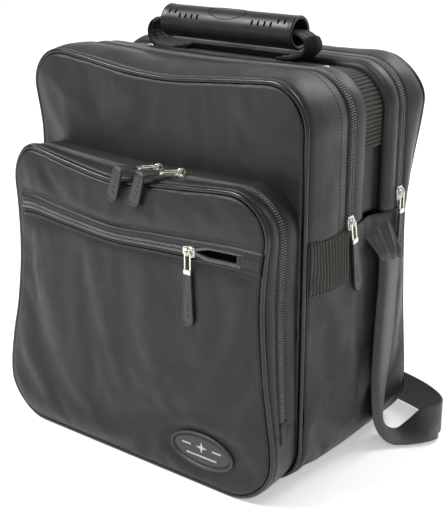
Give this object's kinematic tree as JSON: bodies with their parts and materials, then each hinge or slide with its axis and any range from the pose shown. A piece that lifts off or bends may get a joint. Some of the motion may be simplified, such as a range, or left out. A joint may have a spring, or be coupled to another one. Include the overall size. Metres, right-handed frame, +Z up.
{
  "type": "flight bag",
  "caption": "Upright soft flight bag with two zipped compartments, a zipped front pocket with a slip pocket, a moulded carry handle and a shoulder strap.",
  "frame": {"origin": "centre of the flat base, on the floor", "axes": "+X to the right across the front, +Y from the front pocket to the back, +Z up"},
  "size_m": [0.4238, 0.2786, 0.3985],
  "materials": {
    "nylon": "satin woven nylon",
    "piping_vinyl": "glossy vinyl",
    "zip_tape": "matt woven tape",
    "zip_coil": "satin nylon coil",
    "slider_metal": "bright nickel with a warm tint",
    "pull_rubber": "matt moulded rubber",
    "badge_rubber": "satin moulded rubber",
    "grip_rubber": "satin moulded rubber",
    "ribbed_webbing": "ribbed woven webbing",
    "strap_webbing": "flat woven webbing",
    "strap_leather": "pressed imitation leather",
    "lining": "plain lining",
    "board": "matt stiffener board"
  },
  "bodies": {
    "shell": {"front_panel": "nylon", "bottom_gusset": "nylon", "side_gussets": "nylon", "main_gusset_rear": "nylon", "main_zip_rear": "zip_tape", "main_zip_front_sides": "zip_tape", "main_piping_lower": "piping_vinyl", "main_divider": "lining", "valley_band": "nylon", "handle_webbing": "ribbed_webbing", "rear_divider": "lining", "rear_gusset_front": "nylon", "rear_zip_front": "zip_tape", "rear_side_gussets": "nylon", "rear_panel_lower": "nylon", "rear_piping_lower": "piping_vinyl", "side_bands": "ribbed_webbing", "base_board": "board", "pocket_gusset_rear": "nylon", "pocket_zip_rear": "zip_tape", "pocket_bottom_gusset": "nylon", "pocket_panel_lower": "nylon", "pocket_piping_lower": "piping_vinyl", "badge_plate": "badge_rubber", "handle_rivets": "slider_metal", "strap_anchors": "strap_leather"},
    "main_flap": {"front_panel_upper": "nylon", "main_gusset_front": "nylon", "main_zip_front": "zip_tape", "main_piping_upper": "piping_vinyl"},
    "rear_flap": {"rear_panel_upper": "nylon", "rear_gusset_back": "nylon", "rear_zip_back": "zip_tape", "rear_piping_upper": "piping_vinyl"},
    "pocket_flap": {"pocket_panel_upper": "nylon", "pocket_gusset_front": "nylon", "pocket_zip_front": "zip_tape", "pocket_piping_upper": "piping_vinyl", "slip_lining": "lining", "slip_zip_tapes": "zip_tape", "slip_zip_coil": "zip_coil", "slip_zip_tab": "nylon"},
    "carry_handle": {"handle_grip": "grip_rubber", "handle_strap": "ribbed_webbing"},
    "main_slider": {"main_slider": "slider_metal"},
    "rear_slider": {"rear_slider": "slider_metal"},
    "pocket_slider_left": {"pocket_slider_left": "slider_metal"},
    "pocket_slider_right": {"pocket_slider_right": "slider_metal"},
    "slip_slider": {"slip_slider": "slider_metal"},
    "main_pull": {"main_pull_link": "slider_metal", "main_pull_tab": "pull_rubber"},
    "rear_pull": {"rear_pull_link": "slider_metal", "rear_pull_tab": "pull_rubber"},
    "pocket_left_pull": {"pocket_left_pull_link": "slider_metal", "pocket_left_pull_tab": "pull_rubber"},
    "pocket_right_pull": {"pocket_right_pull_link": "slider_metal", "pocket_right_pull_tab": "pull_rubber"},
    "slip_pull": {"slip_pull_link": "slider_metal", "slip_pull_tab": "pull_rubber"},
    "strap": {"shoulder_strap": "strap_webbing"}
  },
  "joints": [
    {"name": "main_flap_fold", "type": "hinge", "parent": "shell", "child": "main_flap", "pos_m": [0, -0.0675, 0.283], "axis": [1, 0, 0], "range_deg": [0, 60]},
    {"name": "rear_flap_fold", "type": "hinge", "parent": "shell", "child": "rear_flap", "pos_m": [0, 0.1145, 0.232], "axis": [-1, 0, 0], "range_deg": [0, 95]},
    {"name": "pocket_flap_fold", "type": "hinge", "parent": "shell", "child": "pocket_flap", "pos_m": [0, -0.1145, 0.07], "axis": [1, 0, 0], "range_deg": [0, 90]},
    {"name": "handle_tilt", "type": "hinge", "parent": "shell", "child": "carry_handle", "pos_m": [0, 0.039, 0.3593], "axis": [1, 0, 0], "range_deg": [-35, 35]},
    {"name": "strap_swing", "type": "hinge", "parent": "shell", "child": "strap", "pos_m": [0, 0.06, 0.196], "axis": [1, 0, 0], "range_deg": [0, 130]},
    {"name": "main_slider_slide", "type": "slide", "parent": "shell", "child": "main_slider", "axis": [0, 0, 1], "range_m": [0, 0.08]},
    {"name": "rear_slider_slide", "type": "slide", "parent": "shell", "child": "rear_slider", "axis": [0, 0, 1], "range_m": [0, 0.07]},
    {"name": "pocket_left_slide", "type": "slide", "parent": "pocket_flap", "child": "pocket_slider_left", "axis": [-1, 0, 0], "range_m": [0, 0.12]},
    {"name": "pocket_right_slide", "type": "slide", "parent": "pocket_flap", "child": "pocket_slider_right", "axis": [1, 0, 0], "range_m": [0, 0.06]},
    {"name": "slip_slide", "type": "slide", "parent": "pocket_flap", "child": "slip_slider", "axis": [1, 0, 0], "range_m": [-0.19, 0.042]},
    {"name": "main_pull_swing", "type": "hinge", "parent": "main_slider", "child": "main_pull", "pos_m": [0.1653, -0.0025, 0.234], "axis": [0, -0.9826, -0.1857], "range_deg": [0, 150]},
    {"name": "rear_pull_swing", "type": "hinge", "parent": "rear_slider", "child": "rear_pull", "pos_m": [0.1653, 0.0795, 0.243], "axis": [0, -1, 0], "range_deg": [0, 150]},
    {"name": "pocket_left_pull_swing", "type": "hinge", "parent": "pocket_slider_left", "child": "pocket_left_pull", "pos_m": [0.023, -0.0925, 0.2793], "axis": [-0.7547, 0.6561, 0], "range_deg": [0, 110]},
    {"name": "pocket_right_pull_swing", "type": "hinge", "parent": "pocket_slider_right", "child": "pocket_right_pull", "pos_m": [0.049, -0.0925, 0.2793], "axis": [-0.7547, 0.6561, 0], "range_deg": [0, 110]},
    {"name": "slip_pull_swing", "type": "hinge", "parent": "slip_slider", "child": "slip_pull", "pos_m": [0.077, -0.1192, 0.2195], "axis": [-1, 0, 0], "range_deg": [0, 150]}
  ]
}
